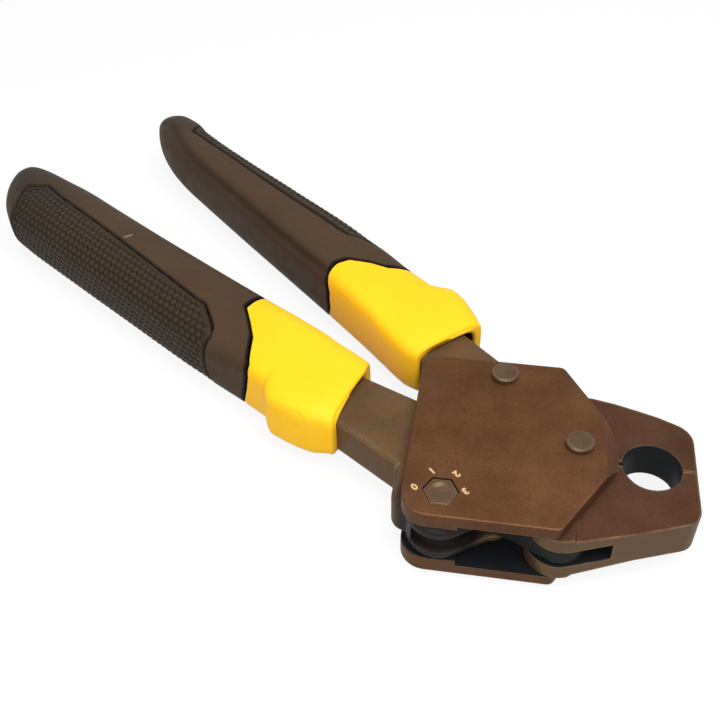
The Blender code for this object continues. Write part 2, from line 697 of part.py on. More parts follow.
def grip_panel(handle, name):
    """Soft panel laid into the outer side of a grip, wrapped round from face to face."""
    body = sleeve(handle, name)
    area = prism(name + "_area", panel_area(handle, 0.0), -PLATE_OUT * 2, PLATE_OUT * 2)
    combine(body, area, "INTERSECT")
    return cut(body, sleeve(handle, name + "_core", PANEL_THICK))


# Assembly

def empty(name, spot, parent=None, parent_spot=None):
    made = bpy.data.objects.new(name, None)
    bpy.context.scene.collection.objects.link(made)
    made.parent = parent
    made.location = (spot.x, spot.y, 0)
    if parent_spot is not None:
        made.location = (spot.x - parent_spot.x, spot.y - parent_spot.y, 0)
    return made


def place(thing, look, axis, spot):
    thing.data.materials.append(look)
    thing.parent = axis
    thing.location = (-spot.x, -spot.y, 0)
    for guide in [m.object for m in thing.modifiers if m.type == "BOOLEAN"]:
        place_guide(guide, axis, spot)
    return thing


def place_guide(guide, axis, spot):
    guide.parent = axis
    guide.location = (-spot.x, -spot.y, 0)
    for inner in [m.object for m in guide.modifiers if m.type == "BOOLEAN"]:
        place_guide(inner, axis, spot)


def bounding_corners(pieces):
    bpy.context.view_layer.update()
    graph = bpy.context.evaluated_depsgraph_get()
    low = Vector((1e9, 1e9, 1e9))
    high = -low
    for piece in pieces:
        shape = piece.evaluated_get(graph)
        mesh = shape.to_mesh()
        for vert in mesh.vertices:
            spot = shape.matrix_world @ vert.co
            low = Vector(map(min, low, spot))
            high = Vector(map(max, high, spot))
        shape.to_mesh_clear()
    return low, high


def main():
    for thing in list(bpy.data.objects):
        bpy.data.objects.remove(thing)

    plate_steel = material("plate_steel", (0.130, 0.085, 0.056), 0.42, 0.75)
    jaw_steel = material("jaw_steel", (0.105, 0.062, 0.040), 0.42, 0.75)
    bar_steel = material("bar_steel", (0.110, 0.080, 0.052), 0.45, 0.70)
    pin_steel = material("pin_steel", (0.130, 0.095, 0.062), 0.38, 0.80)
    yellow = material("yellow_plastic", (0.95, 0.62, 0.02), 0.42, 0.0)
    brown = material("dark_plastic", (0.048, 0.034, 0.026), 0.55, 0.0)
    rubber = material("panel_rubber", (0.034, 0.025, 0.020), 0.70, 0.0)

    tool = empty("tool_frame", v2(0, 0))
    handle_axis = empty("lower_handle_axis", ECCENTRIC, tool)
    knee_axis = empty("toggle_link_axis", KNEE, handle_axis, ECCENTRIC)
    jaw_axis = empty("lower_jaw_axis", PIVOT, tool)
    origin = v2(0, 0)

    jaw_rivet_half = PLATE_THIN_IN - GAP
    pieces = [
        place(side_plate("upper_side_plate", 1), plate_steel, tool, origin),
        place(side_plate("lower_side_plate", -1), plate_steel, tool, origin),
        place(jaw("upper_jaw", 1), jaw_steel, tool, origin),
        place(jaw("lower_jaw", -1), jaw_steel, jaw_axis, PIVOT),
        place(shouldered_rivet("jaw_pivot_rivet", PIVOT, PIVOT_SHOULDER_R, jaw_rivet_half),
              pin_steel, tool, origin),
        place(shouldered_rivet("handle_rivet", HANDLE_RIVET, RIVET_SHANK_R + MM + GAP,
                               PLATE_PAD_IN - GAP), pin_steel, tool, origin),
        place(adjusting_pin("adjusting_pin"), pin_steel, tool, origin),
        place(retaining_ring("pin_retaining_ring"), pin_steel, tool, origin),
        place(pin("upper_fork_pin", UPPER_FORK, FORK_PIN_R, FORK_PIN_HALF), pin_steel, tool, origin),
        place(pin("lower_fork_pin", LOWER_FORK, FORK_PIN_R, FORK_PIN_HALF), pin_steel, jaw_axis, PIVOT),
        place(pin("knee_pin", KNEE, KNEE_PIN_R, BAR_HALF - GAP), pin_steel, handle_axis, ECCENTRIC),
        place(toggle_link("toggle_link"), jaw_steel, knee_axis, KNEE),
        place(upper_bar("upper_handle_bar"), bar_steel, tool, origin),
        place(lower_bar("lower_handle_bar"), bar_steel, handle_axis, ECCENTRIC),
    ]
    for handle, tang, axis, spot in ((UPPER, upper_tang, tool, origin),
                                     (LOWER, lower_tang, handle_axis, ECCENTRIC)):
        name = handle.name
        pieces += [
            place(collar(handle, name + "_collar", tang), yellow, axis, spot),
            place(grip(handle, name + "_grip", tang), brown, axis, spot),
            place(grip_panel(handle, name + "_grip_panel"), rubber, axis, spot),
        ]

    low, high = bounding_corners(pieces)
    tool.location = (-(low.x + high.x) / 2, -(low.y + high.y) / 2, -low.z)


main()
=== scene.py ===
"""Looks of the pex crimp ring tool: camera, light and floor, the finish of every piece, the
modelled skins of both handles with their grooves and textured panels, and the numbers beside
the hexagon. Units are metres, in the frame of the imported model. What is measured along or
round a handle is in millimetres.
"""
import math

import bpy
import numpy as np
from mathutils import Matrix, Vector


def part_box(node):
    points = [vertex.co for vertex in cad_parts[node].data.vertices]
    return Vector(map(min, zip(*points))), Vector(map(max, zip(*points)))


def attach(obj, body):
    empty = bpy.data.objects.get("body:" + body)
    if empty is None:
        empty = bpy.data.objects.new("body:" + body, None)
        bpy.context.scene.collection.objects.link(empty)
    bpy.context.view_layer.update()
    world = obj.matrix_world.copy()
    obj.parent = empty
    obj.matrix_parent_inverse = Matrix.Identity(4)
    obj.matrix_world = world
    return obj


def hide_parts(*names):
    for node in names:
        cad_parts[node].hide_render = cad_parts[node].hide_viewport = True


MM = 0.001

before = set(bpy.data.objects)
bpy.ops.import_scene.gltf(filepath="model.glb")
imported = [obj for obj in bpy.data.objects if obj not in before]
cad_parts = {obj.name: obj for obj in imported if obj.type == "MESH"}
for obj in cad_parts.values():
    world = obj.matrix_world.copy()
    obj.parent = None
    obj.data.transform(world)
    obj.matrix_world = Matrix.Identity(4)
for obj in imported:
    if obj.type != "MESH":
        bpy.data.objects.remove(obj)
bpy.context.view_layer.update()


def middle_of(node):
    low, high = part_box(node)
    return (low + high) / 2


# Places on the tool. BORE lies on its mid-plane. A reach is how far from its axis a mask of
# painted shade goes, PLATE_INSIDE is just past the plates' inner faces, measured from the
# mid-plane, and the grips get darker from REAR_FROM to REAR_TO, measured from the bore.
BORE = middle_of("jaw_pivot_rivet") + Vector((23.0, 0.0, 0.0)) * MM
BORE_REACH = 9.25 * MM
HUB = BORE + Vector((-63.3, -24.4, 0.0)) * MM
HUB_REACH = 13.5 * MM
FORK = middle_of("lower_fork_pin")
FORK_REACH = 26.0 * MM
SLOT_HALF = 3.55 * MM
PLATE_INSIDE = 13.1 * MM
JAW_SIDE_FROM = BORE + Vector((-14.0, -29.8, 0.0)) * MM
JAW_SIDE_TO = BORE + Vector((-23.35, -33.35, 0.0)) * MM
JAW_SIDE_INSET = 0.3 * MM
REAR_FROM = 245.0 * MM
REAR_TO = 306.0 * MM

# Camera
EYE = BORE + Vector((-52.576, -207.849, 237.355)) * MM
LOOK = Vector((-0.132417, 0.718805, -0.682484))
ROLL = math.radians(1.565)
LENS = 48.56
SENSOR_WIDTH = 36.0
CLIP_START = 0.01

# Light. A lamp has its name, place, the point it is aimed at, its side and its watts.
LAMPS = (("key", (0.22, -0.16, 0.70), (0.04, -0.05, 0.0), 0.45, 5.0),
         ("fill", (-0.07, -0.60, 0.40), (0.0, -0.05, 0.0), 0.5, 2.3))
WORLD_LIGHT = 0.42
FLOOR_WHITE = 0.88
FLOOR_HALF = 3.0

# Skins of the handles, in millimetres. A handle's frame is as in the solids: s runs out along
# it from the joint of collar and grip, t to the side away from the other handle. A station
# gives s, inner edge, outer edge, half thickness and squareness.
LOWER_SKIN = (
    (-54.5, -12.2, 15.2, 9.6, 5.0), (-51.0, -14.0, 17.0, 10.5, 5.0),
    (-48.0, -15.2, 18.6, 11.2, 5.0), (-43.0, -15.8, 19.9, 11.7, 5.0),
    (-36.0, -15.9, 20.9, 12.0, 5.0), (-32.0, -15.9, 21.2, 12.1, 5.0),
    (-27.5, -16.1, 18.9, 12.3, 5.0), (-25.5, -16.2, 16.8, 12.4, 5.0),
    (-12.0, -16.1, 16.7, 13.0, 4.6), (0.0, -16.0, 17.3, 13.5, 4.0),
    (20.0, -16.0, 18.0, 13.8, 3.6), (60.0, -16.1, 17.6, 13.8, 3.4),
    (95.0, -16.8, 17.2, 13.5, 3.3), (115.0, -17.4, 17.0, 13.2, 3.2),
    (127.0, -17.3, 16.5, 12.7, 3.0), (138.0, -17.2, 12.6, 11.9, 2.8),
    (147.0, -17.0, 6.6, 10.4, 2.6), (153.5, -16.4, 0.2, 8.4, 2.4),
    (157.5, -14.8, -4.1, 5.7, 2.2), (159.1, -13.1, -6.4, 3.7, 2.1),
    (159.7, -11.8, -7.9, 2.0, 2.0), (159.9, -10.8, -8.8, 0.8, 2.0))
UPPER_SKIN = (
    (-54.0, -12.0, 13.6, 9.6, 5.0), (-50.5, -13.9, 15.8, 10.6, 5.0),
    (-48.0, -15.0, 17.0, 11.2, 5.0), (-43.0, -15.9, 18.6, 11.7, 5.0),
    (-36.0, -15.6, 20.4, 12.0, 5.0), (-32.0, -15.3, 20.7, 12.1, 5.0),
    (-27.5, -14.9, 17.6, 12.3, 5.0), (-24.0, -14.5, 15.4, 12.5, 5.0),
    (-12.0, -14.0, 14.9, 13.0, 4.6), (0.0, -13.9, 15.4, 13.5, 4.0),
    (20.0, -13.9, 15.6, 13.8, 3.6), (60.0, -13.6, 12.9, 13.8, 3.4),
    (95.0, -13.1, 10.2, 13.5, 3.3), (115.0, -12.8, 9.3, 13.2, 3.2),
    (127.0, -12.1, 9.6, 12.7, 3.0), (138.0, -10.3, 11.0, 11.9, 2.8),
    (146.7, -7.7, 11.0, 10.4, 2.6), (152.3, -5.0, 9.3, 8.4, 2.4),
    (155.0, -3.6, 8.4, 6.8, 2.3), (156.8, -2.6, 6.9, 5.2, 2.2),
    (157.9, -1.7, 4.6, 3.5, 2.1), (158.4, -0.6, 2.8, 1.9, 2.0), (158.6, 0.3, 1.7, 0.8, 2.0))

# A skin lies a little inside its stations, and is worked out at slices along the handle, each
# from the points of a section. A mesh has one point round for each step of WAY_ROUND, and one
# row for each step of its rough length.
SKIN_INSET = 0.15
SLICE = 0.2
SECTION_POINTS = 1441
THINNEST = 0.2
WAY_ROUND = 100.0
COLLAR_STEP = 0.4
COLLAR_LENGTH = 45.0
GRIP_STEP = 0.5
GRIP_LENGTH = 175.0

# Lines drawn on the skins, in millimetres. g is the way round from the middle of the outer
# side, above zero over the top. A joint of collar and grip is in pairs of g and s.
LOWER_JOINT = ((-48, 5), (-34, 4.5), (-30, 3.5), (-26, -2), (-21, -7.5), (-16, -10.8),
               (-11, -12.6), (-7.6, -13.3), (0, -15.6), (6.2, -16.9), (11.3, -16.4),
               (16.4, -12.6), (21.3, -8.8), (26.4, -2.2), (30.8, 4.1), (34.6, 4.6), (48, 5.2))
UPPER_JOINT = ((-50, 3.2), (-45, 2.8), (-38.4, 5.1), (-32.7, 5.8), (-27.9, 4.4), (-22.7, -1.9),
               (-19, -8.2), (-12.3, -13.6), (-6, -16), (6, -16), (12.3, -13.6), (19, -8.2),
               (22.7, -1.9), (27.9, 4.4), (32.7, 5.8), (38.4, 5.1), (45, 2.8), (50, 3.2))

# A collar's front cut has its s where t is 0, its slant, and how far its inner corner stands
# back, which begins where t falls below CORNER_FROM
LOWER_FRONT = (-51.0, -0.26, 1.3)
UPPER_FRONT = (-50.6, -0.05, 0.0)
CORNER_FROM = -9.0
CORNER_FADE = 6.0

# The edge of a panel and the line of a crease are in pairs of s and g
LOWER_PANEL = ((128.0, 0), (128.3, 11.5), (135.2, 20.1), (128.0, 28.9), (118.0, 28.3),
               (87.0, 27.2), (64.0, 25.8), (38.6, 24.1), (22.0, 22.9), (16.5, 22.8),
               (9.5, 18.7), (5.5, 16.0), (3.7, 12.4), (4.4, 7.9), (5.3, 1.7), (5.4, 0))
UPPER_PANEL = ((128.0, 0), (128.5, 6.0), (132.5, 11.0), (127.5, 17.5), (97.0, 17.5),
               (67.3, 18.8), (50.0, 19.0), (23.3, 19.0), (17.5, 18.5), (11.9, 15.0),
               (6.5, 13.2), (4.4, 7.9), (5.3, 1.7), (5.4, 0))
UPPER_CREASE = ((-2, 38.0), (9.3, 38.2), (22, 38.6), (37, 37.6), (50, 36.4), (64.5, 35.0),
                (80, 33.2), (97, 31.8), (109, 30.2), (120.5, 27.3), (143, 21.9), (152, 20.0))

# A round ejector mark has s, g and radius, and a scratch has two pairs of s and t
EJECTOR_MARK = (-43.0, 5.0, 3.6)
MARK_DEPTH = 0.22
MARK_HALF = 0.45
SCRATCH = ((71.6, -1.6), (70.6, -4.3))
SCRATCH_HALF = 0.32
SCRATCH_LIGHT = 0.8

# Relief of the grips, in millimetres: the scales of the panels, the plain border and the
# groove round them, and the crease
SCALE_ALONG = 3.0
SCALE_ROUND = 2.7
SCALE_HEIGHT = 0.6
SCALE_SQUASH = 0.95
SCALE_REACH = 0.55
SCALE_POWER = 3.5
SCALE_MIDDLE = 0.8
SCALE_LEAN = 0.4
PANEL_SUNK = 0.15
PANEL_BORDER = 1.7
BORDER_FADE = 0.7
BORDER_HEIGHT = 0.6
GROOVE_DEPTH = 1.2
GROOVE_HALF = 0.55
# The painted shade in the groove reaches GROOVE_SHADE_HALF from its middle, and CREASE_SHADE is
# how dark the painted shade in the crease is
GROOVE_SHADE_HALF = 1.1 * GROOVE_HALF
CREASE_DEPTH = 1.1
CREASE_HALF = 2.3
CREASE_SHADE = 0.45
CREASE_FROM = 1.0
CREASE_FADE_IN = 8.0
CREASE_TO = 152.0
CREASE_FADE_OUT = 14.0

# Open ends of the skins, in millimetres: the gap on each side of the joint, the radii of the
# rounded edges at a collar's front and at the joint, and how deep the skin turns in at the
# joint. The edge's turns are in degrees.
JOINT_GAP = 0.45
# JOINT_SHADE_HALF is how far the painted shade on the grip reaches from the joint
JOINT_SHADE_HALF = 0.5
LIP_RADIUS = 1.5
EDGE_RADIUS = 0.7
EDGE_DEPTH = 3.0
EDGE_TURNS = (20, 40, 60, 80)
EDGE_STRAIGHT = 0.2

# Rows that close a skin, each with its share of the end section's size and its way along s:
# round the bar from a collar's front face, and over the end of a grip
MOUTH = ((0.70, 6.0), (0.70, 0.9), (0.74, 0.15), (0.80, 0.0), (0.86, 0.0))
GRIP_END = ((0.8, 0.10), (0.5, 0.16), (0.2, 0.20), (0.01, 0.20))

# How much painted shade a collar's first rows get, in its mouth round the bar, how many of
# its last rows get painted shade at the joint, how much closer the grip's rows come towards
# its end, and the distance from the panel given to added rows
MOUTH_SHADE = (1.0, 1.0, 0.5)
JOINT_ROWS_DARK = 2
GRIP_END_CLOSER = 0.25
OUTSIDE = -9.0

# Each handle's origin is in millimetres from the bore, and side is 1 where t runs out at the
# left of the way along it
HANDLES = (
    {"name": "lower", "body": "lower_handle", "origin": (-140.0, 44.6), "angle": 147.2,
     "side": 1, "stations": LOWER_SKIN, "front": LOWER_FRONT, "joint": LOWER_JOINT,
     "panel": LOWER_PANEL, "mark": EJECTOR_MARK, "crease": None, "scratch": SCRATCH},
    {"name": "upper", "body": "frame", "origin": (-104.6, 82.0), "angle": 136.8,
     "side": -1, "stations": UPPER_SKIN, "front": UPPER_FRONT, "joint": UPPER_JOINT,
     "panel": UPPER_PANEL, "mark": None, "crease": UPPER_CREASE, "scratch": None})

# Numbers beside the hexagon, from its middle, in millimetres
NUMBER_PLACES = (("0", -7.94, 0.39), ("1", -3.48, 7.33), ("2", 3.96, 7.09), ("3", 7.09, 0.89))
NUMBER_TURN = math.radians(-135.6)
NUMBER_SIZE = 3.3 * MM
NUMBER_BOLD = 0.15 * MM
NUMBER_RAISE = 0.02 * MM


def new_object(name, data):
    made = bpy.data.objects.new(name, data)
    bpy.context.scene.collection.objects.link(made)
    return made


# Node helpers

class Nodes:
    """Builds one material's node tree."""

    def __init__(self, name):
        self.material = bpy.data.materials.new(name)
        self.material.use_nodes = True
        self.tree = self.material.node_tree
        self.shader = self.tree.nodes["Principled BSDF"]
        self.place = self.add("ShaderNodeTexCoord").outputs["Object"]

    def add(self, kind, **settings):
        node = self.tree.nodes.new(kind)
        for key, value in settings.items():
            setattr(node, key, value)
        return node

    def link(self, output, socket):
        self.tree.links.new(output, socket)

    def noise(self, scale, detail=3.0, rough=0.55):
        node = self.add("ShaderNodeTexNoise")
        node.inputs["Scale"].default_value = scale
        node.inputs["Detail"].default_value = detail
        node.inputs["Roughness"].default_value = rough
        self.link(self.place, node.inputs["Vector"])
        return node.outputs["Fac"]

    def layer(self, name):
        """A named number on the mesh's vertices."""
        return self.add("ShaderNodeAttribute", attribute_name=name).outputs["Fac"]

    def ramp(self, value, stops):
        node = self.add("ShaderNodeValToRGB")
        ramp = node.color_ramp
        while len(ramp.elements) < len(stops):
            ramp.elements.new(0.5)
        for element, (spot, colour) in zip(ramp.elements, stops):
            element.position = spot
            element.color = (*colour, 1.0)
        self.link(value, node.inputs["Fac"])
        return node.outputs["Color"]

    def spread(self, value, low, high, out_low=0.0, out_high=1.0):
        node = self.add("ShaderNodeMapRange")
        node.inputs["From Min"].default_value = low
        node.inputs["From Max"].default_value = high
        node.inputs["To Min"].default_value = out_low
        node.inputs["To Max"].default_value = out_high
        self.link(value, node.inputs["Value"])
        return node.outputs["Result"]

    def mix(self, factor, one, two, blend="MIX"):
        node = self.add("ShaderNodeMix", data_type="RGBA", blend_type=blend)
        for socket, value in ((node.inputs["Factor"], factor), (node.inputs[6], one),
                              (node.inputs[7], two)):
            if isinstance(value, (int, float)):
                socket.default_value = value
            elif isinstance(value, tuple):
                socket.default_value = (*value, 1.0)
            else:
                self.link(value, socket)
        return node.outputs[2]

    def speckled(self, base, grain, dark, light):
        """The base made darker and lighter by a fine grain."""
        speck = self.ramp(grain, ((0.3, dark), (0.7, light)))
        return self.mix(1.0, base, speck, "MULTIPLY")

    def times(self, one, two):
        node = self.add("ShaderNodeMath", operation="MULTIPLY")
        for socket, value in zip(node.inputs, (one, two)):
            if isinstance(value, (int, float)):
                socket.default_value = value
            else:
                self.link(value, socket)
        return node.outputs[0]

    def beside(self, value, edge, soft):
        """1 where the value is under the edge, 0 over it."""
        return self.spread(value, edge - soft, edge + soft, 1.0, 0.0)

    def from_axis(self, axis):
        """Distance from an upright axis."""
        node = self.add("ShaderNodeVectorMath", operation="SUBTRACT")
        node.inputs[1].default_value = axis
        self.link(self.place, node.inputs[0])
        flat = self.add("ShaderNodeVectorMath", operation="MULTIPLY")
        flat.inputs[1].default_value = (1, 1, 0)
        self.link(node.outputs["Vector"], flat.inputs[0])
        length = self.add("ShaderNodeVectorMath", operation="LENGTH")
        self.link(flat.outputs["Vector"], length.inputs[0])
        return length.outputs["Value"]

    def from_plane(self, z):
        """Distance from a level plane."""
        split = self.add("ShaderNodeSeparateXYZ")
        self.link(self.place, split.inputs[0])
        away = self.add("ShaderNodeMath", operation="SUBTRACT")
        away.inputs[1].default_value = z
        self.link(split.outputs["Z"], away.inputs[0])
        size = self.add("ShaderNodeMath", operation="ABSOLUTE")
        self.link(away.outputs[0], size.inputs[0])
        return size.outputs[0]

    def beyond(self, one, two):
        """Signed distance from an upright plane through two points, above zero at its left."""
        way = (two - one).normalized()
        node = self.add("ShaderNodeVectorMath", operation="SUBTRACT")
        node.inputs[1].default_value = one
        self.link(self.place, node.inputs[0])
        dot = self.add("ShaderNodeVectorMath", operation="DOT_PRODUCT")
        dot.inputs[1].default_value = (-way.y, way.x, 0)
        self.link(node.outputs["Vector"], dot.inputs[0])
        return dot.outputs["Value"]

    def level(self, low, high):
        """0 on upright faces, rising to 1 on level ones as the normal's share of up goes from
        low to high."""
        split = self.add("ShaderNodeSeparateXYZ")
        self.link(self.add("ShaderNodeNewGeometry").outputs["Normal"], split.inputs[0])
        tilt = self.add("ShaderNodeMath", operation="ABSOLUTE")
        self.link(split.outputs["Z"], tilt.inputs[0])
        return self.spread(tilt.outputs[0], low, high)

    def edges(self, radius, open_cosine=0.985, edge_cosine=0.80):
        """1 where the surface turns within the radius, 0 on open faces."""
        bevel = self.add("ShaderNodeBevel", samples=6)
        bevel.inputs["Radius"].default_value = radius
        face = self.add("ShaderNodeNewGeometry")
        dot = self.add("ShaderNodeVectorMath", operation="DOT_PRODUCT")
        self.link(bevel.outputs["Normal"], dot.inputs[0])
        self.link(face.outputs["Normal"], dot.inputs[1])
        return self.spread(dot.outputs["Value"], open_cosine, edge_cosine)

    def bump(self, height, strength, distance):
        node = self.add("ShaderNodeBump")
        node.inputs["Strength"].default_value = strength
        node.inputs["Distance"].default_value = distance
        self.link(height, node.inputs["Height"])
        self.link(node.outputs["Normal"], self.shader.inputs["Normal"])

    def fixed(self, **values):
        names = {"metallic": "Metallic", "ior": "IOR", "rough": "Roughness",
                 "specular": "Specular IOR Level", "subsurface": "Subsurface Weight"}
        for key, value in values.items():
            self.shader.inputs[names[key]].default_value = value

    def colour(self, value):
        self.link(value, self.shader.inputs["Base Color"])

    def cloudy_roughness(self, scale, low, high, detail=3.0):
        rough = self.spread(self.noise(scale, detail, 0.6), 0.3, 0.7, low, high)
        self.link(rough, self.shader.inputs["Roughness"])


# Masks of the shade painted on the steels

def shade_between_plates(n):
    """Painted shade on the level faces that look at the mechanism, in the shade between the
    plates.
    """
    near = n.beside(n.from_plane(BORE.z), PLATE_INSIDE, 0.2 * MM)
    return n.times(near, n.level(0.85, 0.95))


def shade_round_hub(n):
    """Painted shade on the forked hub of the moving bar, round the adjusting pin."""
    return n.times(n.beside(n.from_axis(HUB), HUB_REACH, 2.0 * MM), 0.92)


def shade_in_bore_or_slot(n):
    """Painted shade on the wall of the bore, and inside the slot at the lower jaw's fork."""
    bore = n.beside(n.from_axis(BORE), BORE_REACH, 0.15 * MM)
    slot = n.times(n.beside(n.from_plane(BORE.z), SLOT_HALF, 0.1 * MM),
                   n.beside(n.beyond(JAW_SIDE_FROM, JAW_SIDE_TO), -JAW_SIDE_INSET, 0.15 * MM))
    either = n.add("ShaderNodeMath", operation="MAXIMUM")
    n.link(bore, either.inputs[0])
    n.link(n.times(slot, n.beside(n.from_axis(FORK), FORK_REACH, 1.0 * MM)), either.inputs[1])
    return either.outputs[0]


# Materials

def oxide_steel(name, dark, light, worn_and_lit, metallic=0.6, wear_and_highlight=0.6, rim_width=0.5, painted_wall_light=0.0,
                painted_shade_where=None):
    """Steel with a brown oxide coat: cloudy patches, a fine grain, and edges made lighter in
    patches, partly where the coat is rubbed and partly as a painted highlight on rounded
    edges. The walls value is how much painted light lightens the upright faces, and the
    hidden function gives where shade is painted in as a near-black coat."""
    n = Nodes(name)
    grain = n.noise(1500, 3.0, 0.7)
    base = n.ramp(n.noise(45, 4.0, 0.6), ((0.34, dark), (0.66, light)))
    base = n.speckled(base, grain, (0.80, 0.80, 0.80), (1.16, 1.15, 1.14))
    patches = n.spread(n.noise(240, 3.0, 0.6), 0.35, 0.65, 0.25, 1.0)
    # Edges lighter in patches: partly rubbed coat, partly a painted highlight on rounded edges
    base = n.mix(n.times(n.times(n.edges(rim_width * MM), patches), wear_and_highlight), base, worn_and_lit)
    # Upright faces lighter: painted light, as if lit from the front
    if painted_wall_light:
        base = n.mix(n.spread(n.level(0.3, 0.6), 0.0, 1.0, painted_wall_light, 0.0), base, worn_and_lit)
    n.fixed(metallic=metallic, specular=0.08)
    # Painted shade: inside the mask the coat turns near black and loses its metal
    if painted_shade_where:
        shade_mask = painted_shade_where(n)
        base = n.mix(shade_mask, base, (0.010, 0.011, 0.013))
        n.link(n.spread(shade_mask, 0.0, 1.0, metallic, 0.0), n.shader.inputs["Metallic"])
    n.colour(base)
    n.cloudy_roughness(90, 0.42, 0.56, detail=4.0)
    n.bump(grain, 0.10, 0.05 * MM)
    return n.material


def pin_steel():
    n = Nodes("pin_steel_look")
    base = n.ramp(n.noise(120, 4.0, 0.65),
                  ((0.3, (0.078, 0.045, 0.022)), (0.7, (0.122, 0.074, 0.038))))
    # Edges lighter: a painted highlight on the rims of the heads and pins
    n.colour(n.mix(n.times(n.edges(0.4 * MM), 0.85), base, (0.46, 0.34, 0.22)))
    n.cloudy_roughness(400, 0.30, 0.44)
    n.fixed(metallic=0.65, specular=0.3)
    n.bump(n.noise(900, 2.0, 0.6), 0.08, 0.05 * MM)
    return n.material


def yellow_plastic():
    n = Nodes("yellow_plastic_look")
    base = n.ramp(n.noise(26, 3.0, 0.5), ((0.3, (0.97, 0.51, 0.010)), (0.7, (0.99, 0.55, 0.015))))
    # Painted shade: near black where the layer marks the collar's mouth and its joint with the
    # grip
    n.colour(n.mix(n.layer("painted_recess_shade"), base, (0.020, 0.010, 0.003)))
    n.cloudy_roughness(300, 0.36, 0.46)
    n.fixed(ior=1.45, subsurface=0.06, specular=0.15)
    n.shader.inputs["Subsurface Radius"].default_value = (0.003, 0.0015, 0.0003)
    n.bump(n.noise(1100, 3.0, 0.6), 0.06, 0.04 * MM)
    return n.material


def rear_end(n):
    """Grows towards the rear ends of the grips, which are darker."""
    return n.spread(n.from_axis(BORE), REAR_FROM, REAR_TO, 0.0, 0.92)


def grip_plastic():
    n = Nodes("grip_plastic_look")
    base = n.ramp(n.noise(30, 4.0, 0.6),
                  ((0.3, (0.050, 0.028, 0.013)), (0.7, (0.068, 0.038, 0.019))))
    base = n.mix(rear_end(n), base, (0.009, 0.007, 0.005))
    grain = n.noise(1600, 3.0, 0.7)
    base = n.speckled(base, grain, (0.84, 0.84, 0.84), (1.14, 1.14, 1.14))
    base = n.mix(n.layer("scratch"), base, (0.42, 0.30, 0.20))
    # Painted shade: near black where the layer marks the groove, the crease and the joint
    n.colour(n.mix(n.layer("painted_recess_shade"), base, (0.002, 0.002, 0.002)))
    n.cloudy_roughness(200, 0.52, 0.64)
    n.fixed(ior=1.45, specular=0.13)
    n.bump(grain, 0.15, 0.04 * MM)
    return n.material


def panel_rubber():
    n = Nodes("panel_rubber_look")
    # Darker down between the scales, lighter on their tops: painted shade
    base = n.ramp(n.layer("scale_height"),
                  ((0.0, (0.003, 0.002, 0.001)), (0.4, (0.022, 0.014, 0.007)),
                   (0.8, (0.042, 0.026, 0.013))))
    base = n.mix(rear_end(n), base, (0.008, 0.006, 0.004))
    grain = n.noise(1300, 3.0, 0.7)
    base = n.speckled(base, grain, (0.8, 0.8, 0.8), (1.18, 1.18, 1.18))
    # Painted shade: near black where the layer marks the groove round the panel
    n.colour(n.mix(n.layer("painted_recess_shade"), base, (0.002, 0.002, 0.002)))
    n.cloudy_roughness(500, 0.42, 0.56)
    n.fixed(ior=1.45, specular=0.13)
    n.bump(grain, 0.2, 0.05 * MM)
    return n.material


def number_mark():
    n = Nodes("number_mark_look")
    n.colour(n.ramp(n.noise(1800, 3.0, 0.6),
                    ((0.35, (0.44, 0.26, 0.12)), (0.65, (0.66, 0.43, 0.22)))))
    n.fixed(rough=0.5, specular=0.3)
    return n.material


# Skins of the handles

def smooth_curve(at, knots, values):
    """Cubic through the values at the knots, with no overshoot. The tiny number keeps the sum
    of two level slopes off zero."""
    run = np.diff(knots)
    slope = np.diff(values) / run
    middle = np.where(slope[:-1] * slope[1:] > 0,
                      2 * slope[:-1] * slope[1:] / (slope[:-1] + slope[1:] + 1e-12), 0.0)
    tangent = np.concatenate(([slope[0]], middle, [slope[-1]]))
    i = np.clip(np.searchsorted(knots, at) - 1, 0, len(run) - 1)
    u = (at - knots[i]) / run[i]
    return (values[i] * (1 + 2 * u) * (1 - u) ** 2 + tangent[i] * run[i] * u * (1 - u) ** 2
            + values[i + 1] * u * u * (3 - 2 * u) - tangent[i + 1] * run[i] * u * u * (1 - u))


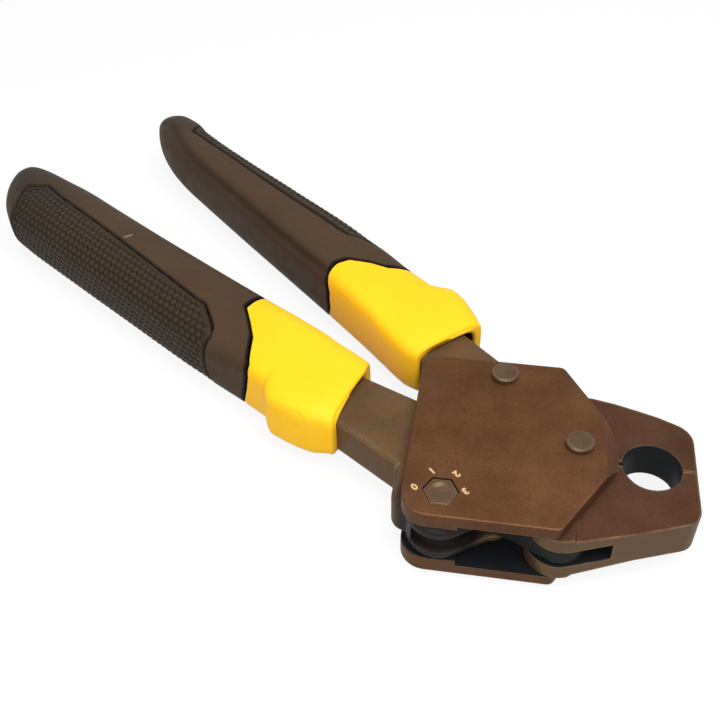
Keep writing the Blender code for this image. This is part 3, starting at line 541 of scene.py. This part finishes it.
class Skin:
    """Smooth outer skin of one handle. Its tables give t, z and g at each slice s along the
    handle and at each of count steps, spaced evenly round the section."""

    def __init__(self, handle, step):
        angle = math.radians(handle["angle"])
        self.origin = BORE + Vector((*handle["origin"], 0.0)) * MM
        self.along = Vector((math.cos(angle), math.sin(angle), 0))
        self.out = handle["side"] * Vector((-self.along.y, self.along.x, 0))
        rows = np.array(handle["stations"])
        self.s = np.arange(rows[0, 0], rows[-1, 0] + SLICE, SLICE)
        inner, outer, half, square = (smooth_curve(self.s, rows[:, 0], rows[:, i])
                                      for i in range(1, 5))
        self.middle = (inner + outer) / 2
        self.count = int(WAY_ROUND / step)
        self.t = np.empty((len(self.s), self.count))
        self.z = np.empty((len(self.s), self.count))
        self.g = np.empty((len(self.s), self.count))
        turn = np.linspace(0, 2 * np.pi, SECTION_POINTS)
        across, up = np.cos(turn), np.sin(turn)
        share = np.arange(self.count) / self.count
        for k in range(len(self.s)):
            power = 2 / square[k]
            wide = max((outer[k] - inner[k]) / 2 - SKIN_INSET, THINNEST)
            tall = max(half[k] - SKIN_INSET, THINNEST)
            t = self.middle[k] + wide * np.sign(across) * np.abs(across) ** power
            z = tall * np.sign(up) * np.abs(up) ** power
            way = np.concatenate(([0], np.cumsum(np.hypot(np.diff(t), np.diff(z)))))
            self.t[k] = np.interp(share * way[-1], way, t)
            self.z[k] = np.interp(share * way[-1], way, z)
            self.g[k] = share * way[-1]
            self.g[k, share > 0.5] -= way[-1]

    def joint(self, pairs):
        """A line given in pairs of g and s, as one s for each step round the skin."""
        ring = self.g[np.searchsorted(self.s, 0.0)]
        return np.interp(ring, [g for g, s in pairs], [s for g, s in pairs])

    def cut(self, spot, slant, back):
        """A slanting cut that stands further back at its inner corner, as one s for each
        step round the skin."""
        ring = self.t[np.searchsorted(self.s, spot)]
        return spot + slant * ring + back * np.clip((CORNER_FROM - ring) / CORNER_FADE, 0, 1)

    def grid(self, s):
        """t, z and g at each s of an array with one column for each step round."""
        made = []
        for table in (self.t, self.z, self.g):
            made.append(np.stack([np.interp(s[:, j], self.s, table[:, j])
                                  for j in range(self.count)], axis=1))
        return made

    def normals(self, s, t, z):
        """Unit normals of a grid of points in (s, t, z), pointing out."""
        field = np.stack((s, t, z), axis=-1)
        lengthwise = np.gradient(field, axis=0)
        around = np.roll(field, -1, axis=1) - np.roll(field, 1, axis=1)
        normal = np.cross(lengthwise, around)
        normal /= np.linalg.norm(normal, axis=-1, keepdims=True) + 1e-9
        way = np.stack((np.zeros_like(t), t - np.interp(s, self.s, self.middle), z), axis=-1)
        return normal * np.sign((normal * way).sum(axis=-1).mean())

    def place(self, s, t, z):
        """Points of the skin in metres, in the frame of the model."""
        along, out = np.array(self.along), np.array(self.out)
        spots = (s[..., None] * along + t[..., None] * out) * MM + np.array(self.origin)
        spots[..., 2] = self.origin.z + z * MM
        return spots.reshape(-1, 3)

    def quads(self, rows):
        """Faces between the rows, as an array with one face for each step of each row."""
        i, j = np.meshgrid(np.arange(rows - 1), np.arange(self.count), indexing="ij")
        after = (j + 1) % self.count
        return np.stack((i * self.count + j, (i + 1) * self.count + j,
                         (i + 1) * self.count + after, i * self.count + after), axis=-1)


def build(name, spots, faces, look, layers):
    """Mesh of the faces that are asked for, with named numbers on its vertices."""
    used = np.unique(faces)
    new = np.full(len(spots), -1)
    new[used] = np.arange(len(used))
    mesh = bpy.data.meshes.new(name)
    mesh.from_pydata(spots[used].tolist(), [], new[faces].tolist())
    for layer, values in layers.items():
        attribute = mesh.attributes.new(layer, "FLOAT", "POINT")
        attribute.data.foreach_set("value", values[used].astype(np.float32))
    mesh.materials.append(look)
    mesh.shade_smooth()
    return new_object(name, mesh)


def sunk(t, z, normal, sink):
    """t and z moved in along the normals."""
    return t - normal[..., 1] * sink, z - normal[..., 2] * sink


def rolled(s, t, z, normal, first, radius, depth=None):
    """Rows that turn an open end of the skin inward over a rounded edge, and then straight in
    as far as the depth, if one is given."""
    end = 0 if first else -1
    sign = -1 if first else 1
    rows = []
    for degrees in EDGE_TURNS:
        turn = math.radians(degrees)
        rows.append((sign * radius * math.sin(turn), radius * (1 - math.cos(turn))))
    rows.append((sign * radius, radius + EDGE_STRAIGHT))
    if depth:
        rows.append((sign * radius, depth))
    made = [(s[end] + shift, *sunk(t[end], z[end], normal[end], sink)) for shift, sink in rows]
    return made[::-1] if first else made


def closing(s, t, z, centre_t, centre_z, rows):
    """Rows that shrink about a centre, to close an end of the skin."""
    return [(s + way, centre_t + (t - centre_t) * share, centre_z + (z - centre_z) * share)
            for share, way in rows]


def stacked(before, grids, after):
    """Grids of s, t and z with single rows added before and after them."""
    return [np.vstack([row[i] for row in before] + [grid] + [row[i] for row in after])
            for i, grid in enumerate(grids)]


def from_segment(x, y, one, two):
    """Distance of points from the straight line between two others."""
    run = two - one
    share = np.clip(((x - one[0]) * run[0] + (y - one[1]) * run[1]) / (run @ run), 0, 1)
    return np.hypot(x - one[0] - share * run[0], y - one[1] - share * run[1])


def signed_distance(s, g, outline):
    """Distance from a line in (s, g), above zero on the side that holds the outer middle."""
    line = np.array(outline, dtype=float)
    away = np.full(s.shape, np.inf)
    inside = np.zeros(s.shape, dtype=bool)
    for one, two in zip(line, line[1:]):
        run = two - one
        away = np.minimum(away, from_segment(s, g, one, two))
        crosses = (one[0] > s) != (two[0] > s)
        height = one[1] + (s - one[0]) * run[1] / (run[0] if run[0] else 1e-9)
        inside ^= crosses & (g < height)
    return np.where(inside, away, -away)


def scale_height(s, g):
    """Height of a field of rounded scales in staggered rows, 0 between them and about 1 on
    top, each a little higher towards the tool's head."""
    row = np.floor(g / SCALE_ROUND)
    best = np.full(s.shape, np.inf)
    lean = np.zeros(s.shape)
    for near in (0, 1):
        middle = row + near
        shift = np.where(middle % 2 == 1, 0.5, 0.0)
        u = s / SCALE_ALONG - shift
        u = u - np.round(u)
        v = g / SCALE_ROUND - middle
        reach = np.hypot(u, SCALE_SQUASH * v)
        lean = np.where(reach < best, -u, lean)
        best = np.minimum(best, reach)
    dome = np.clip(1 - (best / SCALE_REACH) ** SCALE_POWER, 0, 1)
    return dome * (SCALE_MIDDLE + SCALE_LEAN * lean)


def panel_relief(s, g, away):
    """Height of the panel's scales, and how deep the panel and the groove round it lie."""
    field = np.clip((away - PANEL_BORDER) / BORDER_FADE, 0, 1)
    scales = scale_height(s, g) * field + BORDER_HEIGHT * (1 - field)
    sink = GROOVE_DEPTH * np.exp(-(away / GROOVE_HALF) ** 2)
    inside = field * (1 - scales) * SCALE_HEIGHT + PANEL_SUNK
    return scales, sink + np.where(away > 0, inside, 0.0)


def crease_hollow(s, g, crease):
    """1 along the middle of the crease, fading to 0 beside it and at its ends."""
    line = np.array(crease)
    beside = g - np.interp(s, line[:, 0], line[:, 1])
    fade_in = np.clip((s - CREASE_FROM) / CREASE_FADE_IN, 0, 1)
    fade_out = np.clip((CREASE_TO - s) / CREASE_FADE_OUT, 0, 1)
    return np.exp(-(beside / CREASE_HALF) ** 2) * (fade_in * fade_out)


def collar(handle, look):
    """Moulded collar from its front face to the joint with the grip."""
    node = handle["name"] + "_collar"
    skin = Skin(handle, COLLAR_STEP)
    face = skin.cut(*handle["front"])
    start = face + LIP_RADIUS
    end = skin.joint(handle["joint"]) - JOINT_GAP - EDGE_RADIUS
    share = np.linspace(0, 1, int(COLLAR_LENGTH / COLLAR_STEP))[:, None]
    s = start + (end - start) * share
    t, z, g = skin.grid(s)
    normal = skin.normals(s, t, z)
    if handle["mark"]:
        mark_s, mark_g, mark_radius = handle["mark"]
        ring = np.hypot(s - mark_s, g - mark_g)
        sink = MARK_DEPTH * np.exp(-((ring - mark_radius) / MARK_HALF) ** 2)
        t, z = sunk(t, z, normal, sink)
    before = closing(start - LIP_RADIUS, t[0], z[0], skin.middle[0], 0.0, MOUTH)
    before += rolled(s, t, z, normal, True, LIP_RADIUS)
    after = rolled(s, t, z, normal, False, EDGE_RADIUS, EDGE_DEPTH)
    s, t, z = stacked(before, (s, t, z), after)
    # Painted shade: the first rows, in the collar's mouth round the bar, and the last rows, in
    # the joint, are marked dark
    dark = np.zeros(s.shape)
    dark[:len(MOUTH_SHADE)] = np.array(MOUTH_SHADE)[:, None]
    dark[-JOINT_ROWS_DARK:] = 1.0
    faces = skin.quads(len(s)).reshape(-1, 4)
    piece = build(node + "_skin", skin.place(s, t, z), faces, look, {"painted_recess_shade": dark.ravel()})
    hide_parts(node)
    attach(piece, handle["body"])


def grip(handle, grip_look, panel_look):
    """Dark grip from the joint to its rounded end, with the textured panel set in it. Both
    pieces come from one grid, so that they meet without a gap."""
    node = handle["name"] + "_grip"
    skin = Skin(handle, GRIP_STEP)
    start = skin.joint(handle["joint"]) + JOINT_GAP + EDGE_RADIUS
    share = np.linspace(0, 1, int(GRIP_LENGTH / GRIP_STEP))[:, None]
    share = (1 - GRIP_END_CLOSER) * share + GRIP_END_CLOSER * (1 - (1 - share) ** 2)
    s = start + (skin.s[-1] - start) * share
    t, z, g = skin.grid(s)
    normal = skin.normals(s, t, z)
    away = signed_distance(s, np.abs(g), handle["panel"])
    scales, sink = panel_relief(s, np.abs(g), away)
    # Painted shade, marked on the vertices: dark in the groove round the panel, along the crease
    # and at the joint
    dark = np.exp(-(away / GROOVE_SHADE_HALF) ** 2)
    if handle["crease"]:
        hollow = crease_hollow(s, g, handle["crease"])
        sink = sink + CREASE_DEPTH * hollow
        dark = np.maximum(dark, CREASE_SHADE * hollow)
    dark = np.maximum(dark, np.exp(-((s - start) / JOINT_SHADE_HALF) ** 2))
    light = np.zeros(s.shape)
    if handle["scratch"]:
        beside = from_segment(s, t, *np.array(handle["scratch"]))
        light = SCRATCH_LIGHT * np.exp(-(beside / SCRATCH_HALF) ** 2) * (z > 0)
    t, z = sunk(t, z, normal, sink)
    before = rolled(s, t, z, normal, True, EDGE_RADIUS, EDGE_DEPTH)
    after = closing(s[-1], t[-1], z[-1], t[-1].mean(), z[-1].mean(), GRIP_END)
    s, t, z = stacked(before, (s, t, z), after)
    spots = skin.place(s, t, z)
    ends = ((len(before), len(after)), (0, 0))
    layers = {"painted_recess_shade": np.pad(dark, ends, constant_values=((1, 0), (0, 0))).ravel(),
              "scale_height": np.pad(scales, ends).ravel(),
              "scratch": np.pad(light, ends).ravel()}
    away = np.pad(away, ends, constant_values=OUTSIDE)
    in_panel = (away[:-1] + away[1:]) / 2 > 0
    faces = skin.quads(len(s))
    shell = build(node + "_skin", spots, faces[~in_panel], grip_look, layers)
    patch = build(node + "_panel_skin", spots, faces[in_panel], panel_look, layers)
    for piece, taken, slot in ((shell, node, "dark_plastic"),
                               (patch, node + "_panel", "panel_rubber")):
        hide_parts(taken)
        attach(piece, handle["body"])


# Numbers beside the hexagon

def number(digit, across, along, look):
    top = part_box("upper_side_plate")[1].z
    text = bpy.data.curves.new(f"dial_{digit}", "FONT")
    text.body = digit
    text.size = NUMBER_SIZE
    text.align_x = "CENTER"
    text.align_y = "CENTER"
    text.offset = NUMBER_BOLD
    text.extrude = NUMBER_RAISE
    holder = new_object(f"dial_{digit}_text", text)
    graph = bpy.context.evaluated_depsgraph_get()
    graph.update()
    mesh = bpy.data.meshes.new_from_object(holder.evaluated_get(graph))
    bpy.data.objects.remove(holder)
    place = Vector((HUB.x + across * MM, HUB.y + along * MM, top))
    mesh.transform(Matrix.Translation(place) @ Matrix.Rotation(NUMBER_TURN, 4, "Z"))
    mesh.materials.clear()
    mesh.materials.append(look)
    piece = new_object(f"dial_{digit}", mesh)
    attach(piece, "frame")


# Stage

def aimed(spot, way):
    """Matrix of a camera or lamp at a spot that looks along a way."""
    return Matrix.Translation(spot) @ way.to_track_quat("-Z", "Y").to_matrix().to_4x4()


def add_camera():
    data = bpy.data.cameras.new("camera")
    data.lens = LENS
    data.sensor_width = SENSOR_WIDTH
    data.clip_start = CLIP_START
    made = new_object("camera", data)
    made.matrix_world = aimed(EYE, LOOK) @ Matrix.Rotation(-ROLL, 4, "Z")
    bpy.context.scene.camera = made


def add_lamp(name, spot, aim, size, watts):
    data = bpy.data.lights.new(name, "AREA")
    data.shape = "SQUARE"
    data.size = size
    data.energy = watts
    made = new_object(name, data)
    made.matrix_world = aimed(spot, Vector(aim) - Vector(spot))


def seen_ray(tree):
    """1 for a ray of the camera, a reflection or glass, 0 for one that gathers light."""
    path = tree.nodes.new("ShaderNodeLightPath")
    seen = path.outputs["Is Camera Ray"]
    for name in ("Is Glossy Ray", "Is Transmission Ray"):
        either = tree.nodes.new("ShaderNodeMath")
        either.operation = "MAXIMUM"
        tree.links.new(seen, either.inputs[0])
        tree.links.new(path.outputs[name], either.inputs[1])
        seen = either.outputs[0]
    return seen


def add_world():
    """White where it is seen, and a plain soft light everywhere else."""
    world = bpy.data.worlds.new("studio")
    bpy.context.scene.world = world
    world.use_nodes = True
    tree = world.node_tree
    back = tree.nodes["Background"]
    back.inputs["Color"].default_value = (1, 1, 1, 1)
    strength = tree.nodes.new("ShaderNodeMapRange")
    strength.inputs["To Min"].default_value = WORLD_LIGHT
    strength.inputs["To Max"].default_value = 1.0
    tree.links.new(seen_ray(tree), strength.inputs["Value"])
    tree.links.new(strength.outputs["Result"], back.inputs["Strength"])


def add_floor():
    """Pale floor that keeps the tool's shadow, and is darker to rays that gather light."""
    half = FLOOR_HALF
    mesh = bpy.data.meshes.new("floor")
    mesh.from_pydata([(-half, -half, 0), (half, -half, 0), (half, half, 0), (-half, half, 0)],
                     [], [(0, 1, 2, 3)])
    floor = new_object("floor", mesh)
    n = Nodes("floor_look")
    seen = seen_ray(n.tree)
    paper = n.ramp(n.noise(3, 2.0, 0.5), ((0.3, (0.93, 0.93, 0.93)), (0.7, (0.95, 0.95, 0.95))))
    n.colour(n.mix(seen, (0.38, 0.38, 0.38), paper))
    n.fixed(rough=0.9, specular=0.1)
    white = n.add("ShaderNodeEmission")
    white.inputs["Strength"].default_value = 1.0
    both = n.add("ShaderNodeMixShader")
    n.link(n.times(seen, FLOOR_WHITE), both.inputs[0])
    n.link(n.shader.outputs[0], both.inputs[1])
    n.link(white.outputs[0], both.inputs[2])
    n.link(both.outputs[0], n.tree.nodes["Material Output"].inputs["Surface"])
    mesh.materials.append(n.material)


def set_look(node, look):
    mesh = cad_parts[node].data
    if not mesh.materials:
        mesh.materials.append(look)
    for i in range(len(mesh.materials)):
        mesh.materials[i] = look


# The tool

plate_look = oxide_steel("plate_steel_look", (0.080, 0.034, 0.014), (0.116, 0.054, 0.024),
                         (0.27, 0.17, 0.09), wear_and_highlight=0.75, painted_shade_where=shade_between_plates)
jaw_look = oxide_steel("jaw_steel_look", (0.060, 0.026, 0.013), (0.084, 0.038, 0.019),
                       (0.30, 0.20, 0.10), wear_and_highlight=0.8, rim_width=1.4, painted_wall_light=0.22,
                       painted_shade_where=shade_in_bore_or_slot)
bar_look = oxide_steel("bar_steel_look", (0.092, 0.051, 0.024), (0.130, 0.075, 0.036),
                       (0.44, 0.32, 0.18), metallic=0.3, wear_and_highlight=0.9, rim_width=2.2,
                       painted_shade_where=shade_round_hub)
# The toggle link between the plates gets near-black colours: painted shade
link_shade_look = oxide_steel("link_painted_shade_look", (0.010, 0.011, 0.012), (0.015, 0.014, 0.013),
                        (0.050, 0.038, 0.026), metallic=0.1)
pin_look = pin_steel()
yellow_look = yellow_plastic()
grip_look = grip_plastic()
panel_look = panel_rubber()
mark_look = number_mark()

LOOKS = {
    "upper_side_plate": plate_look, "lower_side_plate": plate_look,
    "upper_jaw": jaw_look, "lower_jaw": jaw_look, "toggle_link": link_shade_look,
    "upper_handle_bar": bar_look, "lower_handle_bar": bar_look,
    "jaw_pivot_rivet": pin_look, "handle_rivet": pin_look, "adjusting_pin": pin_look,
    "pin_retaining_ring": pin_look, "upper_fork_pin": pin_look, "lower_fork_pin": pin_look,
    "knee_pin": pin_look,
    "upper_collar": yellow_look, "lower_collar": yellow_look,
    "upper_grip": grip_look, "lower_grip": grip_look,
    "upper_grip_panel": panel_look, "lower_grip_panel": panel_look,
}
for node_name, node_look in LOOKS.items():
    set_look(node_name, node_look)

for handle_facts in HANDLES:
    collar(handle_facts, yellow_look)
    grip(handle_facts, grip_look, panel_look)

for number_text, number_x, number_y in NUMBER_PLACES:
    number(number_text, number_x, number_y, mark_look)

add_camera()
add_world()
add_floor()
for lamp in LAMPS:
    add_lamp(*lamp)
bpy.context.scene.view_settings.view_transform = "Standard"
